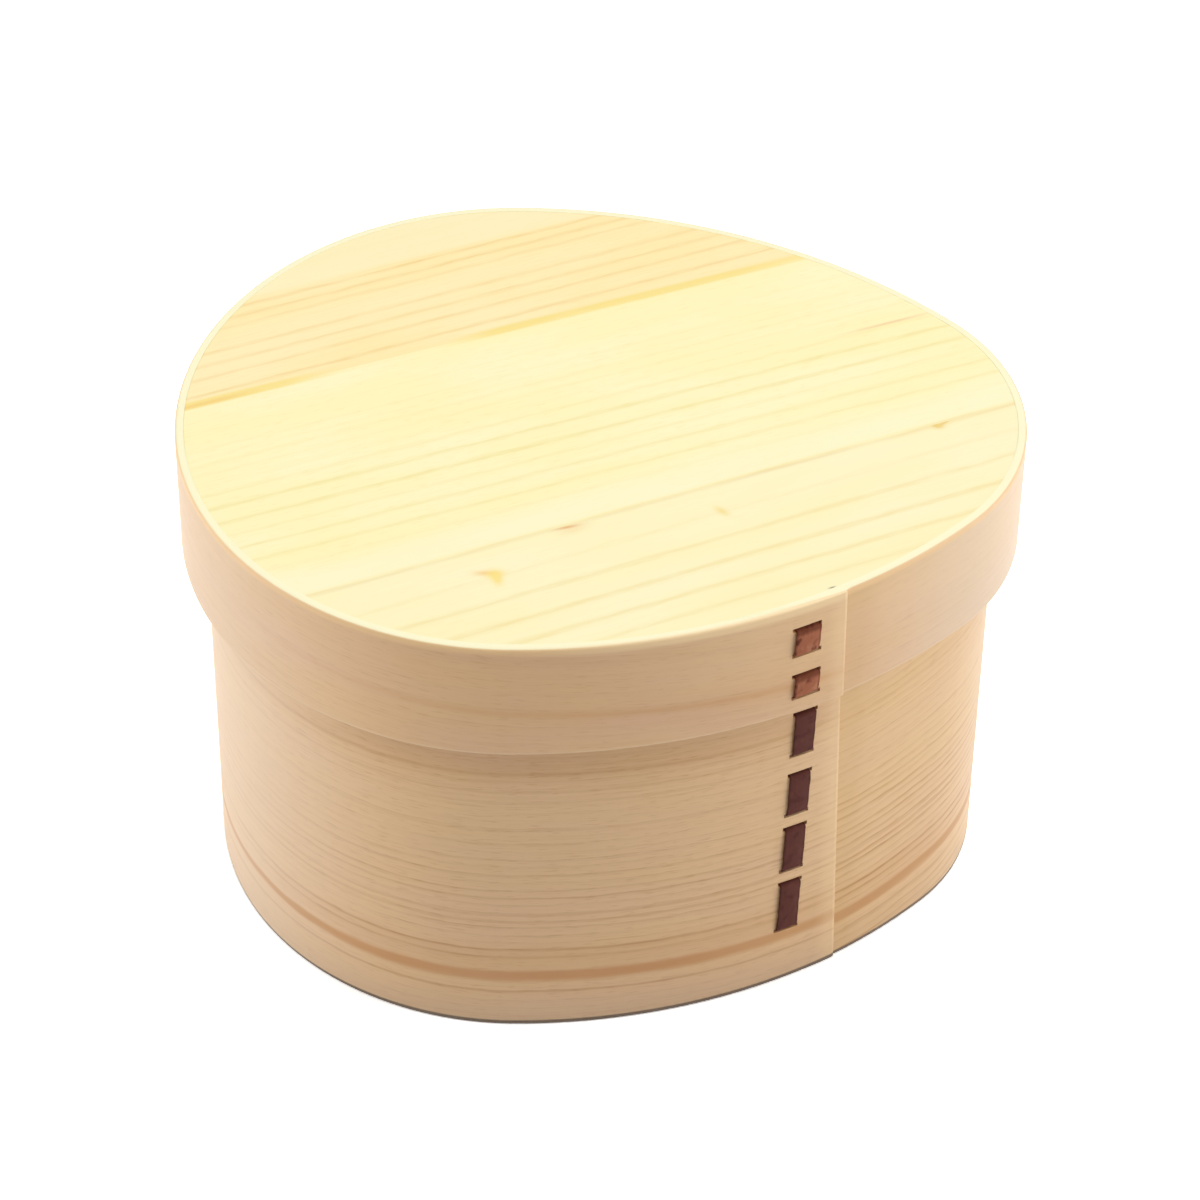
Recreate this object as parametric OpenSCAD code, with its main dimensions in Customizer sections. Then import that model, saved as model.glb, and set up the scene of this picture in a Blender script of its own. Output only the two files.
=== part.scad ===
// Bentwood lunch box: an egg-shaped body and an overlapping lid, each a lapped and laced hoop with a board.
// Millimetres. The box stands on z = 0, with its long axis along X and its small end towards +X.

/* [Plan] */
// Outside radius of the body's big end
big_r = 52; // [46:0.5:60]
// Outside radius of the body's small end
small_r = 32; // [26:0.5:38]
// Distance between the centres of the two ends
end_span = 48; // [42:0.5:60]

/* [Body] */
// Height of the body's hoop
body_h = 87; // [60:0.5:120]
// Thickness of the body's strip
body_wall = 3.2; // [2.6:0.1:4.5]
// Thickness of the bottom board
bottom_t = 4.5; // [3:0.1:7]
// How far the bottom board is let into the body's strip
bottom_rabbet = 1.2; // [0.6:0.1:1.6]

/* [Lid] */
// Height of the lid's hoop
lid_h = 23; // [20:0.5:40]
// Thickness of the lid's strip
lid_wall = 2.4; // [2:0.1:3.5]
// Room left between the two ribbons where the lid passes over the body's lacing
lid_play = 0.3; // [0.2:0.05:1]
// Thickness of the lid's board
lid_board_t = 3.5; // [2.5:0.1:5]
// How far the lid's board lies below the lid's rim
lid_recess = 0.4; // [0:0.1:1.5]
// How far the lid's board is let into the lid's strip
lid_rabbet = 0.5; // [0.3:0.1:1]

/* [Staves] */
// Slant of the joint between the lid's back and middle staves, in degrees
lid_back_slant = 21.5; // [0:0.5:40]
// Distance of that joint from the middle of the lid
lid_back_joint = 26.8; // [15:0.1:40]
// Slant of the joint between the lid's middle and front staves, in degrees
lid_front_slant = 22.5; // [0:0.5:40]
// Distance of that joint from the middle of the lid
lid_front_joint = 22.4; // [15:0.1:40]
// Slant of the two joints in the bottom board, in degrees
bottom_slant = 0; // [-40:0.5:40]
// Width of the middle stave of the bottom board
bottom_stave_w = 38; // [25:0.5:60]

/* [Laps] */
// Height of the step at each end of a strip
lap_step = 0.45; // [0.2:0.05:0.6]
// Length of the lap in the body's hoop
body_lap = 36; // [24:0.5:44]
// Distance along the front from the big end to the outer end of the body's strip
body_lap_at = 56.4; // [50:0.2:62]
// Lean of that end away from upright, in degrees
body_lap_lean = 1.7; // [-4:0.1:4]
// Length of the lap in the lid's hoop
lid_lap = 34; // [24:0.5:44]
// Distance along the front from the big end to the outer end of the lid's strip
lid_lap_at = 55.4; // [50:0.2:62]
// Lean of that end away from upright, in degrees
lid_lap_lean = 0; // [-4:0.1:4]

/* [Lacing] */
// Thickness of the bark ribbons
bark_t = 0.35; // [0.25:0.05:0.5]
// Width of the body's ribbon
body_bark_w = 4.2; // [3:0.1:6]
// Stitches in the body's ribbon
body_stitches = 5; // [2:1:6]
// Distance between the body's stitches
body_stitch_gap = 3.6; // [2.5:0.1:5]
// Distance from the body's foot up to its lowest stitch
body_lacing_low = 12.4; // [8:0.1:20]
// Distance from the body's rim down to its highest stitch
body_lacing_high = 9.8; // [4:0.1:20]
// Distance of the body's ribbon from the outer end of its strip
body_lacing_in = 7.9; // [6:0.1:14]
// Lean of the body's ribbon away from upright, in degrees
body_lacing_lean = 1.8; // [-3:0.1:3]
// Width of the lid's ribbon
lid_bark_w = 4.7; // [3:0.1:6]
// Stitches in the lid's ribbon
lid_stitches = 2; // [2:1:3]
// Distance between the lid's stitches
lid_stitch_gap = 4.6; // [2.5:0.1:5]
// Distance from the lid's lower edge up to its lowest stitch
lid_lacing_low = 3.2; // [2:0.1:5]
// Distance from the lid's board down to its highest stitch
lid_lacing_high = 0.9; // [0.6:0.1:3]
// Distance of the lid's ribbon from the outer end of its strip
lid_lacing_in = 7.2; // [6:0.1:14]
// Lean of the lid's ribbon away from upright, in degrees
lid_lacing_lean = -1.5; // [-3:0.1:3]
// How far a ribbon's end, folded back behind its last stitch, stops short of the next slit
tail_short = 1.2; // [0.6:0.1:2.5]

/* [Edges and fits] */
// Width of the eased edges of the strips
edge_ease = 0.5; // [0.2:0.1:0.8]
// Width of the eased outer edge of the lid's rim
rim_ease = 0.7; // [0.2:0.1:1]
// Room round a board in its rabbet
board_room = 0.05; // [0.02:0.01:0.15]
// Room between the bark and the wood
bark_room = 0.06; // [0.05:0.01:0.1]
// How far a slit runs past each side of its ribbon
slit_over = 0.3; // [0.1:0.05:0.6]

/* [Hidden] */
$fn = 128;

// Colours of the wood and the bark
hoop_color = "burlywood";
board_color = "wheat";
body_bark_color = "#5b3f3b";
lid_bark_color = "#8a5a44";

// A length to the nearest thousandth of a millimetre, which keeps the ends of the plan's arcs on each other
function to_micron(length) = round(length * 1000) / 1000;

// The flanks leave the big end square to the long axis and run tangent into the small end
end_drop = big_r - small_r;
flank_rise = to_micron((end_span * end_span - end_drop * end_drop) / (2 * end_drop));
flank_r = big_r + flank_rise;
tangent_span = sqrt(pow(flank_r - small_r, 2) - flank_rise * flank_rise);
plan_shift = to_micron((tangent_span - end_drop) / 2);
big_c = [-plan_shift, 0];
small_c = [tangent_span - plan_shift, 0];
back = 1;
front = -1;
function flank_c(side) = [-plan_shift, -side * flank_rise];
reach = 3 * flank_r;
small_turn = atan2(flank_rise, tangent_span);
outline_steps = 12;

// Heights
lid_seat_z = body_h;
lid_top_z = lid_seat_z + lid_board_t + lid_recess;
lid_foot_z = lid_top_z - lid_h;

// Length of one stitch, from the height that a row of them fills
function stitch_length(row, count, gap) = (row - (count - 1) * gap) / count;
body_row_h = body_h - body_lacing_low - body_lacing_high;
body_stitch = stitch_length(body_row_h, body_stitches, body_stitch_gap);
body_row_z = body_lacing_low + body_row_h / 2;
lid_row_h = lid_seat_z - lid_foot_z - lid_lacing_low - lid_lacing_high;
lid_stitch = stitch_length(lid_row_h, lid_stitches, lid_stitch_gap);
lid_row_z = lid_foot_z + lid_lacing_low + lid_row_h / 2;

// How far the outer layer of a lap stands above the plain hoop under a ribbon, and the inner layer below it
function lap_rise(lap, lacing_in, width) = lap_step * (lap - lacing_in + width / 2) / lap;
function lap_sink(lap, lacing_in, width) = lap_step * (lacing_in + width / 2) / lap;

// Where a flat ribbon lies against the curved faces of its lap
function sagitta(width) = width * width / (8 * big_r);
body_bark_out = lap_rise(body_lap, body_lacing_in, body_bark_w) + bark_room;
body_bark_in = lap_sink(body_lap, body_lacing_in, body_bark_w) + sagitta(body_bark_w) + bark_room;
lid_bark_out = lap_rise(lid_lap, lid_lacing_in, lid_bark_w) + bark_room;
lid_bark_in = lap_sink(lid_lap, lid_lacing_in, lid_bark_w) + sagitta(lid_bark_w) + bark_room;

// Distances out from the body's outline
lid_in = to_micron(body_bark_out + lid_bark_in + 2 * bark_t + lid_play);
lid_out = lid_in + lid_wall;
bottom_edge = -body_wall + bottom_rabbet;
lid_board_edge = lid_in + lid_rabbet;

// A board's rim is swept round the plan, and a core fills the rest
board_band = small_r / 2;

// Direction out from a flank's centre, and direction along the flank
function out_dir(angle) = [cos(angle), sin(angle)];
function along_dir(angle) = [-sin(angle), cos(angle)];

// Angle of a place on the front flank, by its distance along that flank from the big end
function front_angle(distance, radius) = -90 + distance / radius * 180 / PI;

// Radii and angles of the two laps
body_r = flank_r;
body_end = front_angle(body_lap_at, body_r);
body_start = front_angle(body_lap_at - body_lap, body_r);
body_row = front_angle(body_lap_at - body_lacing_in, body_r);
lid_r = flank_r + lid_out;
lid_end = front_angle(lid_lap_at, lid_r);
lid_start = front_angle(lid_lap_at - lid_lap, lid_r);
lid_row = front_angle(lid_lap_at - lid_lacing_in, lid_r);

// Angle by which a layer of a lap runs on inside the hoop, so that the two join well
lap_spare = 2;

// Shift of a lap face's centre that lifts the strip's end by one step
function lap_shift(start, end) = lap_step / sin(end - start);

// Overlap of neighbouring parts of the plan, far too thin to see, which makes them one solid
hair = [0.000001, 0];

// Parts of the plan that belong to the big end, the small end and one flank
function small_ray(side) = small_c + (small_c - flank_c(side)) / norm(small_c - flank_c(side)) * reach;
big_part = [big_c + [-reach, -reach], big_c + hair + [0, -reach],
            big_c + hair + [0, reach], big_c + [-reach, reach]];
small_part = [small_c - hair, small_ray(front) - hair, small_ray(back) - hair];
function flank_part(side) = [big_c, big_c + [0, side * reach], small_ray(side), small_c];

// Points of the plan, moved out by a distance
function arc(centre, radius, from, to) =
    [for (i = [0 : outline_steps]) centre + radius * out_dir(from + (to - from) * i / outline_steps)];
function outline(distance) = concat(
    arc(small_c, small_r + distance, -small_turn, small_turn),
    arc(flank_c(back), flank_r + distance, small_turn, 90),
    arc(big_c, big_r + distance, 90, 270),
    arc(flank_c(front), flank_r + distance, -90, -small_turn));

// Keeps what lies in one part of the plan
module within(part) {
    intersection() {
        children();
        linear_extrude(2 * reach, center = true)
            polygon(part);
    }
}

// Sweeps a section round the plan; its x is the distance out from the body's outline
module sweep() {
    within(big_part)
        translate(big_c)
            rotate_extrude()
                translate([big_r, 0])
                    children();
    within(small_part)
        translate(small_c)
            rotate_extrude()
                translate([small_r, 0])
                    children();
    for (side = [back, front])
        within(flank_part(side))
            translate(flank_c(side))
                rotate_extrude()
                    translate([flank_r, 0])
                        children();
}

// A slice of the front flank between two angles
module front_slice(from, to) {
    within([flank_c(front), flank_c(front) + reach * out_dir(from), flank_c(front) + reach * out_dir(to)])
        children();
}

// The outer layer of a lap, rising from the plain hoop to its end
module outer_lap(radius, wall, start, end, lean, low, high, top_ease) {
    lift = lap_shift(start, end);
    difference() {
        front_slice(start - lap_spare, end + lap_spare)
            difference() {
                translate(flank_c(front) + lift * along_dir(start))
                    rotate_extrude()
                        translate([radius, 0])
                            polygon([[-wall, low], [-edge_ease, low], [0, low + edge_ease],
                                     [0, high - top_ease], [-top_ease, high], [-wall, high]]);
                translate(flank_c(front))
                    translate([0, 0, low - wall])
                        cylinder(r = radius - wall / 2, h = high - low + 2 * wall);
            }
        translate(flank_c(front))
            rotate(end)
                translate([radius, 0, (low + high) / 2])
                    rotate([lean, 0, 0])
                        translate([-wall, 0, -reach])
                            cube([2 * wall, reach, 2 * reach]);
    }
}

// The inner layer of a lap, rising into the box towards its own end
module inner_lap(radius, wall, start, end, low, high) {
    lift = lap_shift(start, end);
    front_slice(start, end + lap_spare)
        difference() {
            translate(flank_c(front))
                translate([0, 0, low])
                    cylinder(r = radius - wall / 2, h = high - low);
            translate(flank_c(front) + lift * along_dir(end))
                translate([0, 0, low - wall])
                    cylinder(r = radius - wall, h = high - low + 2 * wall);
        }
}

// Places a ribbon or its slits on a lap: x points out of the wall and y along it
module at_row(radius, row, mid_z, lean) {
    translate(flank_c(front))
        rotate(row)
            translate([radius, 0, mid_z])
                rotate([-lean, 0, 0])
                    children();
}

// Outline of a ribbon that runs out over each stitch and back behind each gap, with both ends folded back
function ribbon_outline(count, stitch, gap, out_face, in_face) =
    let (pitch = stitch + gap,
         last = count - 1,
         top = last * pitch + stitch,
         tail = stitch - tail_short,
         back_x = in_face - bark_t,
         front_x = out_face + bark_t)
    concat(
        [[in_face, tail], [in_face, bark_t], [out_face, bark_t]],
        [for (i = [0 : 1 : last - 1], y = [i * pitch + stitch - bark_t])
            each [[out_face, y], [back_x, y],
                  [back_x, y + gap + 2 * bark_t], [out_face, y + gap + 2 * bark_t]]],
        [[out_face, top - bark_t], [in_face, top - bark_t], [in_face, top - tail], [back_x, top - tail],
         [back_x, top], [front_x, top], [front_x, last * pitch]],
        [for (i = [last - 1 : -1 : 0], y = [i * pitch])
            each [[in_face, y + pitch], [in_face, y + stitch], [front_x, y + stitch], [front_x, y]]],
        [[back_x, 0], [back_x, tail]]);

module ribbon(width, count, stitch, gap, row_h, out_face, in_face) {
    translate([0, width / 2, -row_h / 2])
        rotate([90, 0, 0])
            linear_extrude(width)
                polygon(ribbon_outline(count, stitch, gap, out_face, in_face));
}

// The slits that a ribbon passes through
module slits(width, count, stitch, gap, row_h, wall) {
    pitch = stitch + gap;
    slit_w = width + 2 * slit_over;
    translate([-2 * wall, -slit_w / 2, -row_h / 2 - bark_room])
        for (i = [0 : count - 1], y = [0, stitch - bark_t])
            translate([0, 0, i * pitch + y])
                cube([3 * wall, slit_w, bark_t + 2 * bark_room]);
}

module body_hoop() {
    color(hoop_color)
        difference() {
            union() {
                sweep()
                    polygon([[bottom_edge, 0], [-edge_ease, 0], [0, edge_ease],
                             [0, body_h - edge_ease], [-edge_ease, body_h],
                             [-body_wall + edge_ease, body_h], [-body_wall, body_h - edge_ease],
                             [-body_wall, bottom_t], [bottom_edge, bottom_t]]);
                outer_lap(body_r, body_wall, body_start, body_end, body_lap_lean, 0, body_h, edge_ease);
                inner_lap(body_r, body_wall, body_start, body_end, bottom_t, body_h - edge_ease);
            }
            at_row(body_r, body_row, body_row_z, body_lacing_lean)
                slits(body_bark_w, body_stitches, body_stitch, body_stitch_gap, body_row_h, body_wall);
        }
}

module body_lacing() {
    color(body_bark_color)
        at_row(body_r, body_row, body_row_z, body_lacing_lean)
            ribbon(body_bark_w, body_stitches, body_stitch, body_stitch_gap, body_row_h,
                   body_bark_out, -body_wall - body_bark_in);
}

module lid_hoop() {
    color(hoop_color)
        difference() {
            union() {
                sweep()
                    polygon([[lid_in + edge_ease, lid_foot_z], [lid_out - edge_ease, lid_foot_z],
                             [lid_out, lid_foot_z + edge_ease], [lid_out, lid_top_z - rim_ease],
                             [lid_out - rim_ease, lid_top_z], [lid_board_edge, lid_top_z],
                             [lid_board_edge, lid_seat_z], [lid_in, lid_seat_z],
                             [lid_in, lid_foot_z + edge_ease]]);
                outer_lap(lid_r, lid_wall - lid_rabbet, lid_start, lid_end, lid_lap_lean,
                          lid_foot_z, lid_top_z, rim_ease);
                inner_lap(lid_r, lid_wall, lid_start, lid_end, lid_foot_z + edge_ease, lid_seat_z);
            }
            at_row(lid_r, lid_row, lid_row_z, lid_lacing_lean)
                slits(lid_bark_w, lid_stitches, lid_stitch, lid_stitch_gap, lid_row_h, lid_wall);
        }
}

module lid_lacing() {
    color(lid_bark_color)
        at_row(lid_r, lid_row, lid_row_z, lid_lacing_lean)
            ribbon(lid_bark_w, lid_stitches, lid_stitch, lid_stitch_gap, lid_row_h,
                   lid_bark_out, -lid_wall - lid_bark_in);
}

// A whole board, out to a distance from the body's outline
module board(edge, low, thickness) {
    sweep()
        translate([edge - board_room - board_band, low])
            square([board_band, thickness]);
    translate([0, 0, low])
        linear_extrude(thickness)
            polygon(outline(edge - board_room - board_band / 2));
}

// All that lies behind or in front of a slanted joint
module beyond(slant, distance, side) {
    rotate(slant)
        translate([-reach, side == back ? distance : distance - reach, -reach])
            cube([2 * reach, reach, 2 * reach]);
}

module lid_board() {
    board(lid_board_edge, lid_seat_z, lid_board_t);
}

module lid_stave_back() {
    color(board_color)
        intersection() {
            lid_board();
            beyond(lid_back_slant, lid_back_joint, back);
        }
}

module lid_stave_middle() {
    color(board_color)
        difference() {
            lid_board();
            beyond(lid_back_slant, lid_back_joint, back);
            beyond(lid_front_slant, -lid_front_joint, front);
        }
}

module lid_stave_front() {
    color(board_color)
        intersection() {
            lid_board();
            beyond(lid_front_slant, -lid_front_joint, front);
        }
}

module bottom_board() {
    board(bottom_edge, 0, bottom_t);
}

module bottom_stave_back() {
    color(board_color)
        intersection() {
            bottom_board();
            beyond(bottom_slant, bottom_stave_w / 2, back);
        }
}

module bottom_stave_middle() {
    color(board_color)
        difference() {
            bottom_board();
            beyond(bottom_slant, bottom_stave_w / 2, back);
            beyond(bottom_slant, -bottom_stave_w / 2, front);
        }
}

module bottom_stave_front() {
    color(board_color)
        intersection() {
            bottom_board();
            beyond(bottom_slant, -bottom_stave_w / 2, front);
        }
}

body_hoop();
body_lacing();
bottom_stave_back();
bottom_stave_middle();
bottom_stave_front();
lid_hoop();
lid_lacing();
lid_stave_back();
lid_stave_middle();
lid_stave_front();
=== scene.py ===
# A bentwood lunch box: two bent and laced hoops, each with a board of staves. Lengths are in metres.
import math
from collections import namedtuple

import bmesh
import bpy
from mathutils import Matrix, Vector, noise


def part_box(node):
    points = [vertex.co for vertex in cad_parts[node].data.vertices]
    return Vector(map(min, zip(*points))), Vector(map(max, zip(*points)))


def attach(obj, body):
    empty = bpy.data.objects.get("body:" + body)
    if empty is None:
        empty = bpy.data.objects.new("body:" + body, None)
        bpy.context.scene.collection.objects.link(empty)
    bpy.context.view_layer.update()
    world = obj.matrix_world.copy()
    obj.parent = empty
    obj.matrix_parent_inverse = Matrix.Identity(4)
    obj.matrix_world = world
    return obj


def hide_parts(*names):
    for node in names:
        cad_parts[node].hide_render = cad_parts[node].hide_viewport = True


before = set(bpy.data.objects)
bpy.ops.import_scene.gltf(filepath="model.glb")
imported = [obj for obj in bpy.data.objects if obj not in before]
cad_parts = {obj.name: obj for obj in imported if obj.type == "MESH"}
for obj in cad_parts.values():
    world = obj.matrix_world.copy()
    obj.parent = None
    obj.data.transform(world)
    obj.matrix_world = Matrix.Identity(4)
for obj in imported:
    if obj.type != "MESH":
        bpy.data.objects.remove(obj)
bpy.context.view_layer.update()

MM = 0.001

# Plan of the box: two round ends joined by long flanks, to the outside of the body
BIG_R = 52 * MM
SMALL_R = 32 * MM
END_SPAN = 48 * MM
END_DROP = BIG_R - SMALL_R
FLANK_RISE = (END_SPAN ** 2 - END_DROP ** 2) / (2 * END_DROP)
FLANK_R = BIG_R + FLANK_RISE
PLAN_SHIFT = (END_SPAN - END_DROP) / 2
SMALL_TURN = math.atan2(FLANK_RISE, END_SPAN)

# Heights and distances out from the body's outline, as the frame has them
BODY_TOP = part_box("body_hoop")[1].z
LID_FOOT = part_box("lid_hoop")[0].z
LID_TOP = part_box("lid_hoop")[1].z
LID_OUT = min(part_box("lid_hoop")[1].y - BIG_R,
              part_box("lid_hoop")[1].x - (END_SPAN - PLAN_SHIFT + SMALL_R))
LID_BOARD_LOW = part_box("lid_stave_back")[0].z
LID_BOARD_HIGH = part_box("lid_stave_back")[1].z
LID_BOARD_REACH = 0.45 * MM
LID_BOARD_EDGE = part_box("lid_stave_back")[1].y - BIG_R + LID_BOARD_REACH
BOTTOM_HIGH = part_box("bottom_stave_back")[1].z
BOTTOM_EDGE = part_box("bottom_stave_back")[1].y - BIG_R
BOARD_ROOM = 0.01 * MM
CUT_PAST = 5 * MM

# Strips: their laps and edges, thickness, length of the lap, and where the outer end lies along the front
BODY_LAP_STEP = 0.32 * MM
LID_LAP_STEP = 0.4 * MM
LAP_GLUE = 0.008 * MM
COVERED_EASE = 0.04 * MM
STRIP_EASE = 0.5 * MM
RIM_WEAR = 0.6
END_BEVEL = 0.1 * MM
END_BEVEL_LENGTH = 0.6 * MM
BODY_RIM_EASE = 0.5 * MM
BODY_TOE_EASE = 0.35 * MM
LID_RIM_EASE = 0.6 * MM
LID_TOE_EASE = 0.5 * MM
LID_END_ROUND = 1.2 * MM
BODY_WALL = 3.2 * MM
BODY_LAP = 36 * MM
BODY_LAP_AT = 56.4 * MM
BODY_LAP_LEAN = math.radians(1.7)
LID_WALL = 2.4 * MM
LID_LAP = 34 * MM
LID_LAP_AT = 55.7 * MM
LID_LAP_LEAN = math.radians(2.6)

# Ribbons: width, where they lie, and the lower and upper end of each stitch in millimetres
BARK_T = 0.3 * MM
BARK_EASE = 0.14 * MM
BARK_ROOM = 0.09 * MM
BARK_BACK_ROOM = 0.2 * MM
BARK_BEND = 0.5 * MM
BARK_BOW = 0.07 * MM
BARK_TAIL = 5 * MM
BARK_TAIL_ROOM = 1 * MM
BARK_RAGGED = 0.12 * MM
BARK_RAGGED_LENGTH = 2.2 * MM
SLIT_OVER = 0.35 * MM
SLIT_GAPE = 0.36 * MM
BODY_BARK_W = 3.9 * MM
BODY_BARK_AT = 48.5 * MM
BODY_BARK_LEAN = math.radians(1.8)
BODY_STITCHES = [(12.5, 23.6), (26.7, 36.6), (39.8, 49.0), (53.5, 62.8), (67.1, 77.2)]
LID_BARK_W = 4.5 * MM
LID_BARK_AT = 48.2 * MM
LID_BARK_LEAN = math.radians(-1.5)
LID_STITCHES = [(71.4, 76.1), (80.7, 86.3)]
LID_STITCH_SLANT = 0.09

# Boards: slant of each joint and its distance from the middle, and how the edges are eased
LID_BACK_JOINT = (math.radians(21.5), 26.8 * MM)
LID_FRONT_JOINT = (math.radians(22.75), -22.5 * MM)
BOTTOM_BACK_JOINT = (0.0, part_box("bottom_stave_middle")[1].y)
BOTTOM_FRONT_JOINT = (0.0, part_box("bottom_stave_middle")[0].y)
BOARD_EASE = 0.012 * MM
LID_BOARD_RISE = 0.35 * MM

UP = Vector((0, 0, 1))


class Wire:
    """A node's output that takes part in arithmetic. Without a socket it only adds nodes to its tree."""

    def __init__(self, tree, socket=None):
        self.tree = tree
        self.socket = socket

    def node(self, kind, settings=None, sockets=None, output=0):
        """Adds a node: its settings first, then the values or links of its sockets."""
        made = self.tree.nodes.new(kind)
        for name, value in (settings or {}).items():
            setattr(made, name, value)
        for key, value in (sockets or {}).items():
            if isinstance(value, Wire):
                self.tree.links.new(value.socket, made.inputs[key])
            else:
                made.inputs[key].default_value = value
        return Wire(self.tree, made.outputs[output] if made.outputs else None)

    def out(self, name):
        """Another output of the same node."""
        return Wire(self.tree, self.socket.node.outputs[name])

    def math(self, operation, *others):
        return self.node("ShaderNodeMath", {"operation": operation}, dict(enumerate((self, *others))))

    def vector(self, operation, other):
        key = "Scale" if operation == "SCALE" else 1
        return self.node("ShaderNodeVectorMath", {"operation": operation}, {0: self, key: other})

    def between(self, low, high):
        """0 below low, 1 above high and smooth between them."""
        return self.node("ShaderNodeMapRange", {"interpolation_type": "SMOOTHSTEP"},
                         {"Value": self, "From Min": low, "From Max": high})

    def clamped(self):
        return self.math("MAXIMUM", 0.0).math("MINIMUM", 1.0)

    def __add__(self, other):
        return self.math("ADD", other)

    def __radd__(self, other):
        return self.math("ADD", other)

    def __sub__(self, other):
        return self.math("SUBTRACT", other)

    def __rsub__(self, other):
        return self.node("ShaderNodeMath", {"operation": "SUBTRACT"}, {0: other, 1: self})

    def __mul__(self, other):
        return self.math("MULTIPLY", other)

    def __rmul__(self, other):
        return self.math("MULTIPLY", other)

    def __truediv__(self, other):
        return self.math("DIVIDE", other)

    def __rtruediv__(self, other):
        return self.node("ShaderNodeMath", {"operation": "DIVIDE"}, {0: other, 1: self})

    def __pow__(self, other):
        return self.math("POWER", other)

    def __gt__(self, other):
        return self.math("GREATER_THAN", other)

    def __lt__(self, other):
        return self.math("LESS_THAN", other)


def linear(hex_colour):
    """A colour written as six hex digits, as the shaders take it."""
    parts = [int(hex_colour[i:i + 2], 16) / 255 for i in (0, 2, 4)]
    return tuple(p / 12.92 if p <= 0.04045 else ((p + 0.055) / 1.055) ** 2.4 for p in parts) + (1.0,)


# Plan


def plan_arcs(out):
    """The four arcs of the plan, moved out, anticlockwise from where the front flank leaves the big end."""
    quarter = math.pi / 2
    return [
        (Vector((-PLAN_SHIFT, FLANK_RISE, 0)), FLANK_R + out, -quarter, -SMALL_TURN),
        (Vector((END_SPAN - PLAN_SHIFT, 0, 0)), SMALL_R + out, -SMALL_TURN, SMALL_TURN),
        (Vector((-PLAN_SHIFT, -FLANK_RISE, 0)), FLANK_R + out, SMALL_TURN, quarter),
        (Vector((-PLAN_SHIFT, 0, 0)), BIG_R + out, quarter, 3 * quarter),
    ]


def plan_length(out):
    return sum(radius * (end - start) for _, radius, start, end in plan_arcs(out))


def plan_point(out, distance):
    """The place at a distance round the plan, moved out."""
    left = distance % plan_length(out)
    for centre, radius, start, end in plan_arcs(out):
        arc = radius * (end - start)
        if left <= arc:
            break
        left -= arc
    angle = start + left / radius
    return centre + radius * Vector((math.cos(angle), math.sin(angle), 0))


def front_place(out, distance, z, lean):
    """A frame on the front flank: x out of the wall, y up along a leaning row and z back along the wall."""
    angle = -math.pi / 2 + distance / (FLANK_R + out)
    outward = Vector((math.cos(angle), math.sin(angle), 0))
    along = UP.cross(outward)
    upward = math.cos(lean) * UP + math.sin(lean) * along
    place = plan_point(out, distance) + z * UP
    return Matrix.Translation(place) @ Matrix((outward, upward, outward.cross(upward))).transposed().to_4x4()


# Meshes


def add_object(name, mesh):
    made = bpy.data.objects.new(name, mesh)
    bpy.context.scene.collection.objects.link(made)
    return made


def chain(name, points):
    """A row of points joined by edges."""
    mesh = bpy.data.meshes.new(name)
    mesh.from_pydata(points, [(i, i + 1) for i in range(len(points) - 1)], [])
    return add_object(name, mesh)


def settle(piece):
    """Turns a piece's modifiers into its own mesh."""
    evaluated = piece.evaluated_get(bpy.context.evaluated_depsgraph_get())
    mesh = bpy.data.meshes.new_from_object(evaluated)
    piece.modifiers.clear()
    piece.data = mesh
    mesh.name = piece.name
    return piece


def smooth(piece, angle=math.radians(35)):
    piece.data.shade_smooth()
    piece.data.set_sharp_from_angle(angle=angle)


def face_outwards(mesh):
    shape = bmesh.new()
    shape.from_mesh(mesh)
    bmesh.ops.recalc_face_normals(shape, faces=shape.faces)
    shape.to_mesh(mesh)
    shape.free()


def cut_away(piece, tree, finish, cutters):
    """Takes other shapes out of a bent strip, which keeps the grain that it had as a whole."""
    whole = add_object("whole", piece.data.copy())
    for cutter in cutters:
        cut = piece.modifiers.new("cut", "BOOLEAN")
        cut.operation = "DIFFERENCE"
        cut.solver = "MANIFOLD"
        cut.object = cutter
    settle(piece)
    grown(piece, tree, finish, Whole=whole)
    for used in (whole, *cutters):
        bpy.data.objects.remove(used)


def kept_side(points, slant, distance, side):
    """The part of an outline on one side of a slanted line."""
    normal = Vector((-math.sin(slant), math.cos(slant), 0)) * side

    def height(point):
        return normal.dot(point) - side * distance

    kept = []
    for a, b in zip(points, points[1:] + points[:1]):
        if height(a) >= 0:
            kept.append(a)
        if height(a) * height(b) < 0:
            kept.append(a.lerp(b, height(a) / (height(a) - height(b))))
    return kept


def board(name, out, low, high, cuts=()):
    """A flat board with the plan's outline, cut by slanted lines: (joint, side to keep)."""
    steps = 480
    outline = [plan_point(out, i / steps * plan_length(out)) for i in range(steps)]
    for (slant, distance), side in cuts:
        outline = kept_side(outline, slant, distance, side)
    count = len(outline)
    mesh = bpy.data.meshes.new(name)
    points = [p + low * UP for p in outline] + [p + high * UP for p in outline]
    sides = [(i, (i + 1) % count, count + (i + 1) % count, count + i) for i in range(count)]
    caps = [tuple(range(count - 1, -1, -1)), tuple(range(count, 2 * count))]
    mesh.from_pydata(points, [], sides + caps)
    return add_object(name, mesh)


# Geometry trees

STRIP_SIZES = ["Length", "Foot", "Height", "Wall", "Lap", "Step", "Glue", "Lean",
               "Spare", "Edge", "Rim", "Toe", "Bevel", "Bevel Length", "End Round"]
STRIP_COUNTS = ["Rows", "Corner Steps"]
LAP_TRACE = 0.001
MOST_EASE = 0.45
END_ROUND_RUN = 3.0
WELD = 0.0002 * MM


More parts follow.
